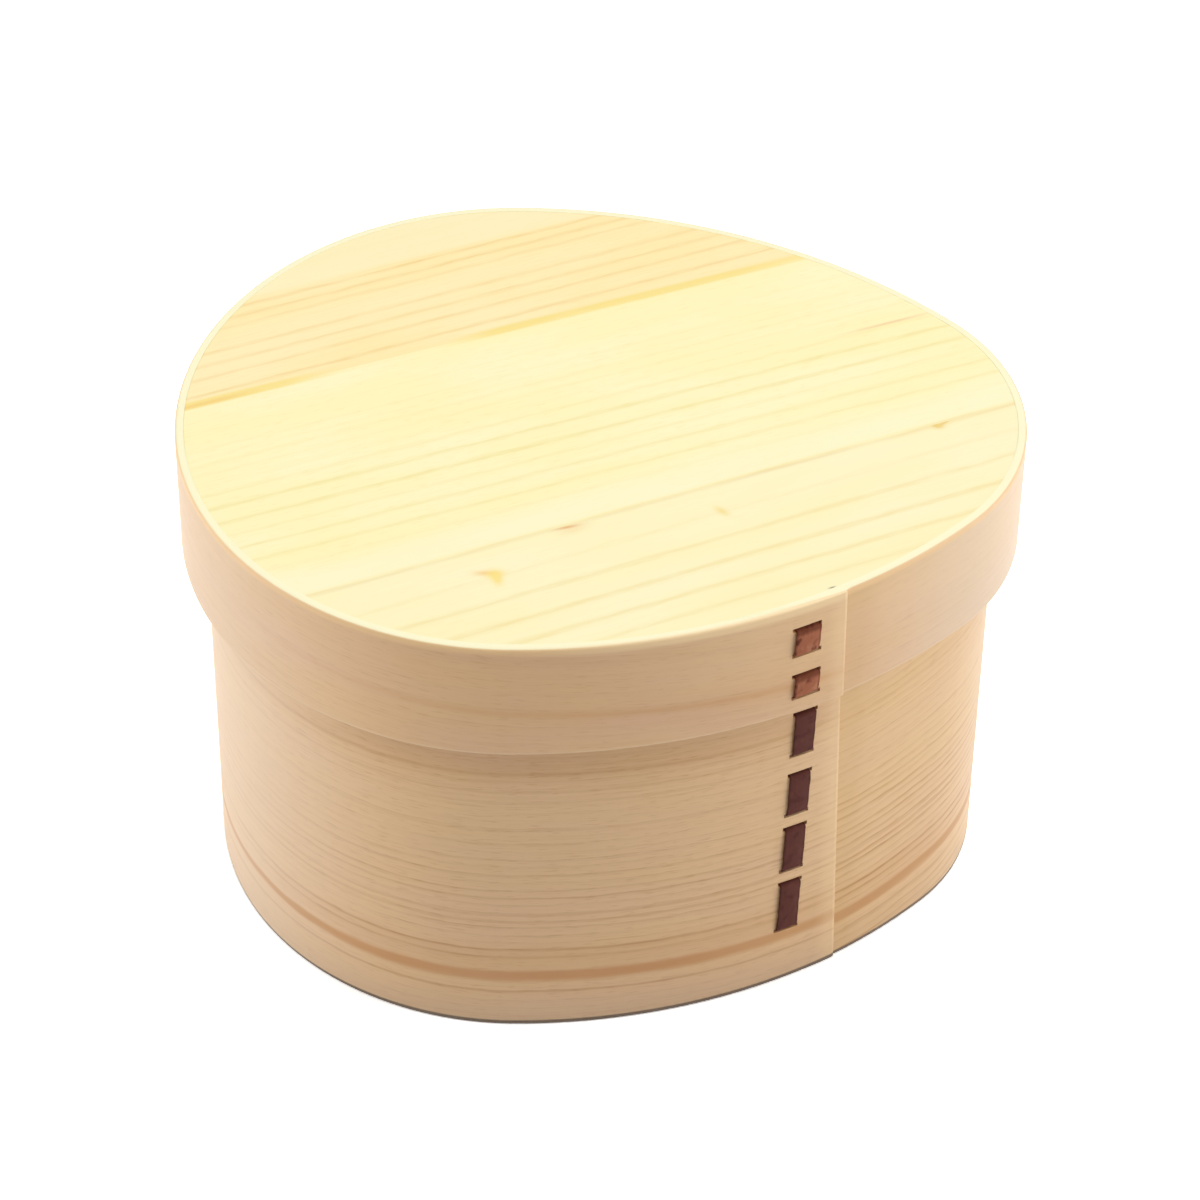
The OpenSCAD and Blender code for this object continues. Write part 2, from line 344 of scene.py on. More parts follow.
def new_tree(name, sizes, counts):
    tree = bpy.data.node_groups.new(name, "GeometryNodeTree")
    tree.interface.new_socket("Geometry", in_out="INPUT", socket_type="NodeSocketGeometry")
    for size in sizes:
        tree.interface.new_socket(size, in_out="INPUT", socket_type="NodeSocketFloat")
    for count in counts:
        tree.interface.new_socket(count, in_out="INPUT", socket_type="NodeSocketInt")
    tree.interface.new_socket("Finish", in_out="INPUT", socket_type="NodeSocketMaterial")
    tree.interface.new_socket("Geometry", in_out="OUTPUT", socket_type="NodeSocketGeometry")
    return tree


def end_tree(wires, geometry, finish):
    real = wires.node("GeometryNodeRealizeInstances", None, {"Geometry": geometry})
    done = wires.node("GeometryNodeSetMaterial", None, {"Geometry": real, "Material": finish})
    wires.node("NodeGroupOutput", None, {"Geometry": done})


def bent_strip_tree():
    """A strip bent along a path, with scarfed ends that can lap on each other and rounded edges."""
    tree = new_tree("bent_strip", STRIP_SIZES, STRIP_COUNTS)
    wires = Wire(tree)
    given = wires.node("NodeGroupInput")
    size = {name: given.out(name) for name in STRIP_SIZES + STRIP_COUNTS}
    path = wires.node("GeometryNodeMeshToCurve", None, {"Mesh": given})
    per_corner = size["Corner Steps"] + 1.0
    columns = per_corner * 4.0
    grid = wires.node("GeometryNodeMeshGrid", None, {
        "Size X": 1.0, "Size Y": 1.0, "Vertices X": size["Rows"], "Vertices Y": columns + 1.0})
    place = wires.node("ShaderNodeSeparateXYZ", None, {0: wires.node("GeometryNodeInputPosition")})
    row = ((place + 0.5) * (size["Rows"] - 1.0)).math("ROUND")
    column = ((place.out("Y") + 0.5) * columns).math("ROUND")

    # Corner of the rounded section, counted from the outer upper one
    turn = column.math("MODULO", columns)
    corner = (turn / per_corner).math("FLOOR")
    angle = (corner + (turn - corner * per_corner) / size["Corner Steps"]) * (math.pi / 2)
    right = 1.0 - 2.0 * ((corner > 0.5) * (corner < 2.5))
    upper = 1.0 - 2.0 * (corner > 1.5)

    # Distance along the strip, with rows close together at its two ends and one more to close each end
    spans = size["Rows"] - 3.0
    share = (row - 1.0).math("MAXIMUM", 0.0).math("MINIMUM", spans) / spans
    along = size["Length"] * (0.5 - 0.5 * (share * math.pi).math("COSINE"))
    closing = (row < 0.5) + (row > size["Rows"] - 1.5)

    # The two faces, which draw together along the scarfs; the lower layer's scarf leans with the upper one's
    from_end = size["Length"] - along
    inner_lap = 1.0 - (along / size["Lap"]).clamped()
    outer_lap = 1.0 - (from_end / size["Lap"]).clamped()
    leaning = size["Lean"] * upper * size["Height"] * 0.5 * outer_lap
    scarf_lap = 1.0 - ((from_end - leaning) / size["Lap"]).clamped()
    start_bevel = (1.0 - along / size["Bevel Length"]).clamped()
    end_bevel = (1.0 - from_end / size["Bevel Length"]).clamped()
    scarf = size["Wall"] + size["Glue"]
    outer = size["Step"] * outer_lap - scarf * inner_lap - size["Bevel"] * end_bevel * end_bevel
    inner = scarf * scarf_lap - size["Wall"] - size["Step"] * inner_lap
    inner = inner + size["Bevel"] * start_bevel * start_bevel
    thickness = outer - inner

    # Place in the section, whose outer upper edge is rounder towards the outer end
    rim = size["Rim"] * (1.0 + RIM_WEAR * outer_lap)
    ease = size["Edge"] + (rim - size["Edge"]) * (corner < 0.5)
    ease = ease + (size["Toe"] - size["Edge"]) * (corner > 2.5)
    covered = (inner_lap > LAP_TRACE) * (right > 0.0) + (outer_lap > LAP_TRACE) * (right < 0.0)
    covered = covered.math("MAXIMUM", closing)
    ease = ease + (COVERED_EASE - ease) * covered
    ease = ease.math("MINIMUM", thickness * MOST_EASE)
    across = right * (thickness * 0.5 - ease) + ease * angle.math("COSINE")
    out = (outer + inner) * 0.5 + across * (1.0 - closing)
    from_middle = upper * (size["Height"] * 0.5 - ease) + ease * angle.math("SINE")
    height = size["Height"] * 0.5 + from_middle

    # The outer end leans and has a rounded lower corner
    low = (size["End Round"] - height).math("MAXIMUM", 0.0)
    cut_back = size["End Round"] - (size["End Round"] ** 2.0 - low * low).math("SQRT")
    cut_back = cut_back * (1.0 - from_end / (size["End Round"] * END_ROUND_RUN)).clamped()
    path_length = along + size["Spare"] + size["Lean"] * from_middle * outer_lap - cut_back
    path_at = wires.node("GeometryNodeSampleCurve", {"mode": "LENGTH"},
                         {"Curves": path, "Length": path_length}, "Position")
    outward = path_at.out("Tangent").vector("CROSS_PRODUCT", UP)
    lifted = wires.node("ShaderNodeCombineXYZ", None, {"Z": size["Foot"] + height})
    position = path_at.vector("ADD", outward.vector("SCALE", out)).vector("ADD", lifted)
    strip = wires.node("ShaderNodeCombineXYZ", None, {"X": along, "Y": height, "Z": out})

    named = wires.node("GeometryNodeStoreNamedAttribute", {"data_type": "FLOAT_VECTOR", "domain": "POINT"},
                       {"Geometry": grid, "Name": "strip", "Value": strip})
    bent = wires.node("GeometryNodeSetPosition", None, {"Geometry": named, "Position": position})
    closed = wires.node("GeometryNodeMergeByDistance", None, {"Geometry": bent, "Distance": WELD})
    end_tree(wires, closed, given.out("Finish"))
    return tree


def slit_row_tree():
    """A narrow block at each point, to cut the slits that a ribbon passes through."""
    sizes = ["Depth", "Height", "Width"]
    tree = new_tree("slit_row", sizes, [])
    wires = Wire(tree)
    given = wires.node("NodeGroupInput")
    shape = wires.node("ShaderNodeCombineXYZ", None, {
        "X": given.out("Depth"), "Y": given.out("Height"), "Z": given.out("Width")})
    block = wires.node("GeometryNodeMeshCube", None, {"Size": shape})
    slits = wires.node("GeometryNodeInstanceOnPoints", None, {"Points": given, "Instance": block})
    end_tree(wires, slits, given.out("Finish"))
    return tree


def grain_again_tree():
    """Gives a cut strip the grain of the whole one, from the nearest place on it."""
    tree = new_tree("grain_again", [], [])
    tree.interface.new_socket("Whole", in_out="INPUT", socket_type="NodeSocketObject")
    wires = Wire(tree)
    given = wires.node("NodeGroupInput")
    whole = wires.node("GeometryNodeObjectInfo", None, {"Object": given.out("Whole")}, "Geometry")
    grain = wires.node("GeometryNodeInputNamedAttribute", {"data_type": "FLOAT_VECTOR"}, {"Name": "strip"})
    nearest = wires.node("GeometryNodeSampleNearestSurface", {"data_type": "FLOAT_VECTOR"},
                         {"Mesh": whole, "Value": grain})
    named = wires.node("GeometryNodeStoreNamedAttribute", {"data_type": "FLOAT_VECTOR", "domain": "POINT"},
                       {"Geometry": given, "Name": "strip", "Value": nearest})
    end_tree(wires, named, given.out("Finish"))
    return tree


def grown(base, tree, finish, **sizes):
    """Runs a geometry tree on a base and keeps the mesh that it makes."""
    modifier = base.modifiers.new(tree.name, "NODES")
    modifier.node_group = tree
    for item in tree.interface.items_tree:
        if item.in_out == "INPUT" and item.name in sizes:
            modifier[item.identifier] = sizes[item.name]
        if item.in_out == "INPUT" and item.name == "Finish":
            modifier[item.identifier] = finish
    settle(base)
    face_outwards(base.data)
    return base


# Materials

Wood = namedtuple(
    "Wood", "pale blush late spacing line_at sharp wander ripple uneven lines flecks seed")
Gloss = namedtuple("Gloss", "level rough")
STRIP_GLOSS = Gloss(level=0.5, rough=0.42)
BOARD_GLOSS = Gloss(level=0.15, rough=0.6)
LATE_PEAK = 0.93
FIBRE_MIDDLE = 0.45
FIBRE_SHARE = 0.2
FIBRE_ROUGH = 0.14

# Patches of the grain: length and width in millimetres
DRIFT = (110, 40)
RIPPLE = (7, 3)
BREAKS = (5, 0.45)
FIBRES = (14, 0.35)
FLECKS = (3.2, 0.36)
TONE = (40, 11)


def new_material(name):
    made = bpy.data.materials.new(name)
    made.use_nodes = True
    made.node_tree.nodes.clear()
    return made, Wire(made.node_tree)


def noise_at(wires, x, y, seed, detail=2.0):
    """A soft random value from 0 to 1 over a plane."""
    point = wires.node("ShaderNodeCombineXYZ", None, {"X": x, "Y": y, "Z": seed})
    return wires.node("ShaderNodeTexNoise", {"noise_dimensions": "3D"},
                      {"Vector": point, "Scale": 1.0, "Detail": detail}, "Fac")


def patches(wires, along, across, size, seed, detail=2.0):
    """A soft random value from 0 to 1, in patches of a length and width in millimetres."""
    length, width = size
    return noise_at(wires, along / (length * MM), across / (width * MM), seed, detail)


def mixed(wires, share, first, second):
    return wires.node("ShaderNodeMix", {"data_type": "RGBA"}, {0: share, 6: first, 7: second}, 2)


def band(across, at, half_width):
    """1 on a line across the grain, falling off smoothly to both sides."""
    off = (across - at) / half_width
    return (0.0 - off * off).math("EXPONENT")


def softwood(wires, along, across, wood, weight=1.0):
    """Grain of a straight softwood: late wood, fibres, flecks and a slow tone, each from 0 to 1."""
    drift = patches(wires, along, across, DRIFT, wood.seed) - 0.5
    ripple = patches(wires, along, across, RIPPLE, wood.seed + 8.0) - 0.5
    uneven = noise_at(wires, across / (2.5 * wood.spacing), 0.0, wood.seed + 4.0) - 0.5
    warped = across + drift * wood.wander + ripple * wood.ripple + uneven * (wood.uneven * wood.spacing)
    from_line = warped - wood.line_at
    ring = from_line / wood.spacing + LATE_PEAK
    year = ring.math("FLOOR")
    part = ring - year
    strength = wires.node("ShaderNodeTexWhiteNoise", {"noise_dimensions": "1D"},
                          {"W": year + wood.seed}, "Value")
    fading = noise_at(wires, along / (26 * MM), year * 3.7, wood.seed + 9.0).between(0.28, 0.66)
    broken = patches(wires, along, warped, BREAKS, wood.seed + 1.0).between(0.3, 0.62)
    late = part ** wood.sharp * (1.0 - part.between(0.9, 1.0))
    lines = late * (0.4 + 0.6 * strength) * (0.3 + 0.7 * fading) * (0.45 + 0.55 * broken) * weight
    fibres = patches(wires, along, warped, FIBRES, wood.seed + 2.0)
    flecks = patches(wires, along, across, FLECKS, wood.seed + 6.0, 1.0).between(0.56, 0.72)
    tone = patches(wires, along, across, TONE, wood.seed + 3.0).between(0.3, 0.72)
    return lines, fibres, flecks, tone


def late_wood(wires, along, across, lines, seed):
    """Bands across the grain, as (place, half width, share) in millimetres: late wood of single years, and on
    the body also a broad band of painted shade under the lid. It also gives the rough place across the grain."""
    rough = 0.8 * MM
    near = across + (patches(wires, along, across, (8, 1.2), seed) - 0.5) * rough
    return sum(band(near, at * MM, half * MM) * share for at, half, share in lines), near


def finish_wood(wires, wood, grain, gloss, extra, tints):
    """The shader of bare planed wood: its grain, its gloss, a share of added late wood (on the body with a
    band of painted shade), and tints as (share, colour), among them painted highlights, sheen and shade."""
    lines, fibres, flecks, tone = grain
    ground = mixed(wires, tone, wood.pale, wood.blush)
    dark = lines * wood.lines + (fibres - FIBRE_MIDDLE) * FIBRE_SHARE + flecks * wood.flecks + extra
    colour = mixed(wires, dark.clamped(), ground, wood.late)
    for share, tint in tints:
        colour = mixed(wires, share.clamped(), colour, tint)
    relief = fibres * 0.6 - flecks * 0.5 + lines * 0.4
    bump = wires.node("ShaderNodeBump", None, {"Strength": 0.3, "Distance": 0.05 * MM, "Height": relief})
    shader = wires.node("ShaderNodeBsdfPrincipled", None, {
        "Base Color": colour, "Roughness": gloss.rough + fibres * FIBRE_ROUGH, "Normal": bump,
        "Specular IOR Level": gloss.level})
    wires.node("ShaderNodeOutputMaterial", None, {"Surface": shader})


def strip_grain(wires):
    """Distance along a bent strip, height in it and depth out of its face."""
    strip = wires.node("ShaderNodeAttribute", {"attribute_name": "strip"}, None, "Vector")
    parts = wires.node("ShaderNodeSeparateXYZ", None, {0: strip})
    return parts, parts.out("Y"), parts.out("Z")


# The body's late wood; its last, broad band at 61.5 mm is painted shade under the lid's lower edge.
BODY_LATE_WOOD_AND_LID_SHADE = [(8.2, 0.3, 0.45), (16.6, 0.26, 0.25), (18.4, 0.3, 0.42), (25.0, 0.3, 0.2),
                  (26.7, 0.3, 0.2), (30.8, 0.28, 0.14), (32.5, 0.28, 0.14), (36.0, 0.3, 0.1),
                  (46.6, 0.35, 0.1), (53.1, 0.35, 0.14), (55.5, 0.35, 0.2), (59.6, 0.5, 0.2),
                  (61.5, 4.5, 0.27)]
BODY_BROAD_LINE = 12.0 * MM
BODY_RING_SLOPE = 0.35
LID_RING_SLOPE = 0.3
LID_STRIPE = 8.5 * MM
LID_STRIPE_RISE = 0.06
LATE_BROWN = linear("c98d50")
STRIPE_ORANGE = linear("cf8f52")


def far_from_lap(along, length, first, full):
    """0 near the lap on the front, 1 round the two ends and the back. It grows from first to full."""
    towards_lap = along.between(length - 115 * MM, length - 72 * MM)
    return along.between(first, full) * (1.0 - towards_lap)


def lap_highlight_and_shade(along, length, lap):
    """Painted highlight on the end of the outer layer, and painted shade on the wood beside its step."""
    painted_end_highlight = along.between(length - 4.5 * MM, length - 0.7 * MM)
    painted_lap_shade = along.between(lap - 6 * MM, lap - 3 * MM) * (1.0 - along.between(lap + 2 * MM, lap + 8 * MM))
    return [(painted_end_highlight * 0.4, linear("ffdcaa")), (painted_lap_shade * 0.25, linear("d2a868"))]


def body_hoop_wood():
    """The body's strip: crowded fine lines low down, one broad brown line, bold lines right of the lap."""
    made, wires = new_material("body_hoop_wood")
    along, height, depth = strip_grain(wires)
    wood = Wood(pale=linear("eac492"), blush=linear("e9c296"), late=linear("b0702f"), spacing=1.8 * MM,
                line_at=18.4 * MM, sharp=3.0, wander=1.2 * MM, ripple=1.0 * MM, uneven=0.8,
                lines=0.62, flecks=0.2, seed=3.0)
    length = plan_length(0.0) + BODY_LAP
    start_dip = 2.9 * MM * (1.0 - along.between(34 * MM, 72 * MM))
    end_dip = 0.9 * MM * along.between(length - 60 * MM, length)
    across = height + start_dip + end_dip + depth * BODY_RING_SLOPE
    bold = 1.0 - along.between(55 * MM, 100 * MM)
    crowded = across.between(12 * MM, 17 * MM) * (1.0 - across.between(30 * MM, 44 * MM))
    plain_top = across.between(33 * MM, 45 * MM)
    far = far_from_lap(along, length, 46 * MM, 96 * MM)
    weight = (0.55 + 0.45 * crowded) * (1.0 - 0.45 * far) + 1.9 * bold * (1.0 - 0.75 * plain_top)
    grain = softwood(wires, along, across, wood, weight)
    # The stripes hold the late wood and the painted shade under the lid.
    stripes, near = late_wood(wires, along, across, BODY_LATE_WOOD_AND_LID_SHADE, 5.0)
    stripes = stripes * (1.0 - 0.6 * bold * plain_top)
    broad_half = 1.35 * MM - 0.6 * MM * far
    broad = (0.0 - ((near - BODY_BROAD_LINE) / broad_half) ** 4.0).math("EXPONENT")
    streaks = noise_at(wires, along / (60 * MM), 0.0, 33.0).between(0.1, 0.6)
    rim = height.between(BODY_TOP - 0.6 * MM, BODY_TOP - 0.1 * MM)
    foot = 1.0 - (height + far * (0.35 * MM)).between(0.8 * MM, 1.15 * MM)
    right_side = 1.0 - along.between(90 * MM, 140 * MM)
    low = (1.0 - height.between(2 * MM, 9 * MM)) * (1.0 - 0.7 * far.math("MAXIMUM", right_side))
    finish_wood(wires, wood, grain, STRIP_GLOSS, stripes * (0.65 + 0.35 * streaks), [
        # painted sheen: paler, greyer wood round the ends and the back stands in for the sheen and side light
        # there
        (far * 0.52, linear("f1dac0")),
        (low * 0.3, linear("dcbea4")),
        (right_side * (1.0 - far) * 0.22, linear("edc689")),
        (band(near, 16 * MM, 3.2 * MM) * (1.0 - far) * 0.2, LATE_BROWN),
        (broad * (0.5 + 0.4 * streaks) * (1.0 - 0.3 * far), LATE_BROWN),
        # painted highlight on the outer layer's end and painted shade beside the lap's step
        *lap_highlight_and_shade(along, length, BODY_LAP),
        # painted shadow: a dark line on the eased toe stands in for the contact shadow under the foot
        (foot * 0.85, linear("443424")),
        # painted highlight: the rounded top edge is paler where the light from above falls on it
        (rim * 0.6, linear("fbecc4"))])
    return made


def lid_hoop_wood():
    """The lid's strip: faint lines, an orange stripe towards the lap, and painted light on its rounded rim,
    whose glow reaches further down towards the lap.
    """
    made, wires = new_material("lid_hoop_wood")
    along, height, depth = strip_grain(wires)
    wood = Wood(pale=linear("e8be8b"), blush=linear("e7bd93"), late=linear("b57a44"), spacing=1.9 * MM,
                line_at=0.0, sharp=2.0, wander=2.0 * MM, ripple=0.6 * MM, uneven=1.2, lines=0.2,
                flecks=0.17, seed=14.0)
    length = plan_length(LID_OUT) + LID_LAP
    from_stripe = (along - (length - 45 * MM)).math("MAXIMUM", -110 * MM)
    across = height + depth * LID_RING_SLOPE + from_stripe * LID_STRIPE_RISE
    grain = softwood(wires, along, across, wood)
    near_end = along.between(length - 125 * MM, length - 45 * MM)
    upper_line = band(across, 19.8 * MM, 0.6 * MM) * near_end
    stripe = band(across, LID_STRIPE, 0.62 * MM) * near_end
    halo = band(across, LID_STRIPE - 0.3 * MM, 2.6 * MM) * along.between(length - 75 * MM, length - 20 * MM)
    lid_height = LID_TOP - LID_FOOT
    upper = height.between(6 * MM, 18 * MM)
    beside_lap = along.between(length - 50 * MM, length - 15 * MM) + 1.0 - along.between(60 * MM, 110 * MM)
    inner_side = 1.0 - depth.between(-1.2 * MM, -0.8 * MM)
    painted_rim_glow = height.between(lid_height - 1.7 * MM, lid_height - 0.5 * MM)
    rim = height.between(lid_height - 0.2 * MM, lid_height - 0.03 * MM)
    rim = rim.math("MAXIMUM", inner_side * height.between(lid_height - 3.6 * MM, lid_height - 3 * MM))
    outside_near_lap = along.between(length - 60 * MM, length - 32 * MM) * depth.between(-0.9 * MM, -0.1 * MM)
    painted_lap_rim_glow = outside_near_lap * height.between(lid_height - 2 * MM, lid_height - 0.7 * MM)
    painted_lower_edge_highlight = 1.0 - height.between(0.2 * MM, 0.9 * MM)
    painted_lower_edge_highlight = painted_lower_edge_highlight * (1.0 - along.between(length - 16 * MM, length - 9 * MM))
    round_left = along.between(150 * MM, 250 * MM)
    finish_wood(wires, wood, grain, STRIP_GLOSS, upper_line * 0.1, [
        # painted sheen: paler wood round the ends and the back stands in for the sheen and side light there
        (far_from_lap(along, length, 33 * MM, 66 * MM) * (0.48 - 0.14 * round_left), linear("efdfca")),
        (stripe * 0.33 + halo * 0.14, STRIPE_ORANGE),
        (upper * beside_lap * 0.15, linear("ffe0b4")),
        # painted highlight on the outer layer's end and painted shade beside the lap's step
        *lap_highlight_and_shade(along, length, LID_LAP),
        # painted light: a warm glow on the rim's rounded outer edge
        (painted_rim_glow * 0.75, linear("fad29a")),
        # painted light: the glow reaches lower on the outside near the lap, where the rim is rounder
        (painted_lap_rim_glow * 0.8, linear("ffdfae")),
        # painted highlight on the rim's top, weaker near the lap, and painted light on the rabbet's inner
        # wall in place of its shade
        (rim * (0.95 - 0.75 * outside_near_lap), linear("fffad2")),
        # painted highlight on the lid's rounded lower edge
        (painted_lower_edge_highlight * 0.35, linear("f8e0b8"))])
    return made


BACK_LATE_WOOD = [(29.9, 0.4, 0.24), (33.8, 0.38, 0.2), (36.8, 0.4, 0.19), (39.7, 0.4, 0.19),
                  (45.0, 0.4, 0.16), (47.2, 0.42, 0.24), (49.5, 0.4, 0.24)]
MIDDLE_LATE_WOOD = [(-15.7, 0.38, 0.07), (-12.7, 0.42, 0.17), (-9.2, 0.42, 0.19), (-5.9, 0.4, 0.12),
                    (-2.6, 0.45, 0.27), (1.2, 0.45, 0.27), (4.6, 0.4, 0.12), (6.9, 0.38, 0.06),
                    (9.5, 0.38, 0.08), (11.9, 0.38, 0.1), (13.7, 0.3, 0.05), (15.6, 0.38, 0.08),
                    (19.8, 0.38, 0.05), (22.5, 0.3, 0.03)]
FRONT_LATE_WOOD = [(-29.0, 0.5, 0.1), (-34.6, 0.5, 0.22), (-39.9, 0.55, 0.28), (-44.6, 0.5, 0.28),
                   (-48.9, 0.45, 0.2)]
BOARD_RING_SLOPE = 0.4
BACK_FAN = 0.02
FRONT_FAN = 0.0106
GLUE_LINE = linear("e0ba6c")


def board_wood(name, wood, slant, years=(), fan=0.0, marks=None):
    """Wood of a stave, with its grain along the slant. Years is its late wood, turned by the fan, and marks
    adds tints to places along and across it."""
    made, wires = new_material(name)
    place = wires.node("ShaderNodeTexCoord", None, None, "Object")
    turned = wires.node("ShaderNodeMapping", None, {"Vector": place, "Rotation": (0, 0, -slant)})
    parts = wires.node("ShaderNodeSeparateXYZ", None, {0: turned})
    along, flat, depth = parts, parts.out("Y"), parts.out("Z")
    across = flat - along * fan + (depth - LID_TOP) * BOARD_RING_SLOPE
    stripes = 0.0
    if years:
        stripes, near = late_wood(wires, along, across, years, wood.seed + 12.0)
        broken = patches(wires, along, near, (6, 0.5), wood.seed + 13.0).between(0.3, 0.62)
        stripes = stripes * (0.6 + 0.75 * broken)
    grain = softwood(wires, along, across, wood)
    finish_wood(wires, wood, grain, BOARD_GLOSS, stripes, marks(wires, along, flat) if marks else ())
    return made


def turned_place(x, y, slant):
    """A place on the lid as distances along and across a slanted grain."""
    return x * math.cos(slant) + y * math.sin(slant), y * math.cos(slant) - x * math.sin(slant)


def spot(along, across, centre, half_length, half_width, tilt=0.0):
    """1 at a place, falling off smoothly along and across the grain."""
    off_along = along - centre[0]
    off_across = across - centre[1]
    long = (off_along * math.cos(tilt) + off_across * math.sin(tilt)) / half_length
    wide = (off_across * math.cos(tilt) - off_along * math.sin(tilt)) / half_width
    return (0.0 - long * long - wide * wide).math("EXPONENT")


def back_joint_resin(wires, along, across):
    """Resinous late wood on both sides of the back joint: strong at its left end and on the right."""
    off = across - LID_BACK_JOINT[1]
    patchy = patches(wires, along, across, (14, 3), 81.0).between(0.3, 0.62)
    profile = off.between(-1.15 * MM, -0.35 * MM) * (1.0 - off.between(0.5 * MM, 1.5 * MM))
    left_end = 1.0 - along.between(-50 * MM, -32 * MM)
    right_half = along.between(-20 * MM, -6 * MM) * (1.0 - 0.35 * along.between(25 * MM, 50 * MM))
    resin = profile * (left_end + right_half * (0.75 + 0.25 * patchy) + 0.12)
    core = band(off, -0.1 * MM, 0.5 * MM) * (1.0 - along.between(-58 * MM, -48 * MM))
    return [(resin.clamped() * 0.92, linear("fae28f")), (core * 0.5, linear("f3c873"))]


def front_joint_seam(wires, along, across, off, at, seed):
    """The glue line of the front joint, where off is at a value: faint in places and darker on the right."""
    faint = patches(wires, along, across, (12, 3), seed).between(0.3, 0.7)
    dark_part = band(along, 24 * MM, 9 * MM)
    return band(off, at, 0.42 * MM) * (0.1 + 0.14 * faint + 0.12 * dark_part)


def back_stave_marks(wires, along, across):
    """The resin of the joint, and paler wood on the far side."""
    joint = LID_BACK_JOINT[1]
    pale_side = across.between(joint + 23 * MM, joint + 24.2 * MM)
    return [(pale_side * 0.5, linear("fff2c8"))] + back_joint_resin(wires, along, across)


def middle_stave_marks(wires, along, across):
    """Both joints, paler wood beside the front one, and a red streak by the back one."""
    slant, joint = LID_FRONT_JOINT
    turn = slant - LID_BACK_JOINT[0]
    off = across * math.cos(turn) - along * math.sin(turn) - joint
    seam = front_joint_seam(wires, along, across, off, 0.1 * MM, 85.0)
    pale_side = off.between(0.3 * MM, 1 * MM) * (1.0 - off.between(3 * MM, 9 * MM))
    red_at = turned_place(48.7 * MM, 24.9 * MM, LID_BACK_JOINT[0])
    red = spot(along, across, red_at, 7 * MM, 0.3 * MM)
    tints = [(pale_side * 0.5, linear("fff7d4")), (seam, GLUE_LINE), (red * 0.5, linear("ecb982"))]
    return tints + back_joint_resin(wires, along, across)


def front_stave_marks(wires, along, across):
    """The glue line, a golden streak under it, a fish-tailed knot, a few smaller grain marks and painted
    shade in a small gap at the rim.
    """
    slant, joint = LID_FRONT_JOINT

    def mark(x, y, half_length, half_width, tilt):
        """A mark at a place on the lid, with its sizes in millimetres."""
        centre = turned_place(x * MM, y * MM, slant)
        return spot(along, across, centre, half_length * MM, half_width * MM, tilt)

    seam = front_joint_seam(wires, along, across, across, joint - 0.1 * MM, 89.0)
    streak = band(across, joint - 0.3 * MM, 0.6 * MM) * along.between(38 * MM, 44 * MM)
    wedge = mark(-18.6, -38.2, 1.7, 0.6, -0.393)
    knot = mark(-17.0, -38.3, 1.4, 1.0, -0.3) + mark(-16.6, -39.7, 1.3, 0.85, -1.67)
    small_knot = mark(19.3, -23.1, 1.4, 0.65, -1.13)
    far_knot = mark(55.3, -1.8, 1.0, 0.7, -0.4)
    far_knot = far_knot + mark(54.0, -1.2, 1.0, 0.35, -0.8) + mark(56.5, -0.8, 1.0, 0.35, 0.3)
    red_streak = mark(-5.6, -27.2, 1.9, 0.3, -0.1)
    round_streak = mark(-4.6, -27.6, 2.4, 0.9, 0.0)
    # painted shade: a dark spot where a tiny gap between the board and the rim lies in shadow
    painted_gap_shade = mark(36.4, -41.15, 0.6, 0.2, -0.07)
    return [
        (seam, GLUE_LINE),
        (streak * 0.25, linear("f4da90")),
        (wedge * 0.75, linear("f7cb85")),
        (knot.clamped() * 0.8, linear("fbe07f")),
        (small_knot * 0.7, linear("f5dc84")),
        (far_knot.clamped() * 0.8, linear("efcd74")),
        (round_streak * 0.5, linear("f8d9a0")),
        (red_streak * 0.7, linear("e3a05c")),
        (painted_gap_shade * 0.8, linear("5a3f28"))]


def bark(name, dark, middle, light, seed, stained, ribbon_width, shaded_tops):
    """Smooth cherry bark with fine streaks along the ribbon, darker stains and edges, paler blotches and
    painted shadow at the stitches' tops, which are given as the heights of their upper ends."""
    made, wires = new_material(name)
    along, width, _ = strip_grain(wires)
    streaks = patches(wires, along, width, (6, 0.35), seed)
    worn = patches(wires, along, width, (2.6, 1.5), seed + 5.0).between(0.5, 0.72)
    stains = patches(wires, along, width, (2.2, 1.8), seed + 11.0).between(0.5, 0.68)
    colour = mixed(wires, (streaks * 0.5 + worn * 0.5).clamped(), middle, light)
    edge_start = 0.1 * MM
    edge_end = 0.55 * MM
    edges = 1.0 - width.between(edge_start, edge_end)
    edges = edges + width.between(ribbon_width - edge_end, ribbon_width - edge_start)
    colour = mixed(wires, ((stains + edges * 0.6) * stained).clamped(), colour, dark)
    place = wires.node("ShaderNodeTexCoord", None, None, "Object")
    level = wires.node("ShaderNodeSeparateXYZ", None, {0: place}).out("Z") + worn * (0.5 * MM)
    # painted shadow: each stitch darkens just below its top, where the ribbon dives into the slit under the
    # wood's edge
    for top in shaded_tops:
        above = level.between(top + 1 * MM, top + 2 * MM)
        shaded = level.between(top - 1.5 * MM, top - 0.5 * MM) * (1.0 - above)
        colour = mixed(wires, shaded * 0.7, colour, dark)
    bump = wires.node("ShaderNodeBump", None, {"Strength": 0.4, "Distance": 0.06 * MM, "Height": streaks})
    shader = wires.node("ShaderNodeBsdfPrincipled", None, {
        "Base Color": colour, "Roughness": 0.42 + streaks * 0.2, "Normal": bump, "Specular IOR Level": 0.05})
    wires.node("ShaderNodeOutputMaterial", None, {"Surface": shader})
    return made


# Hoops


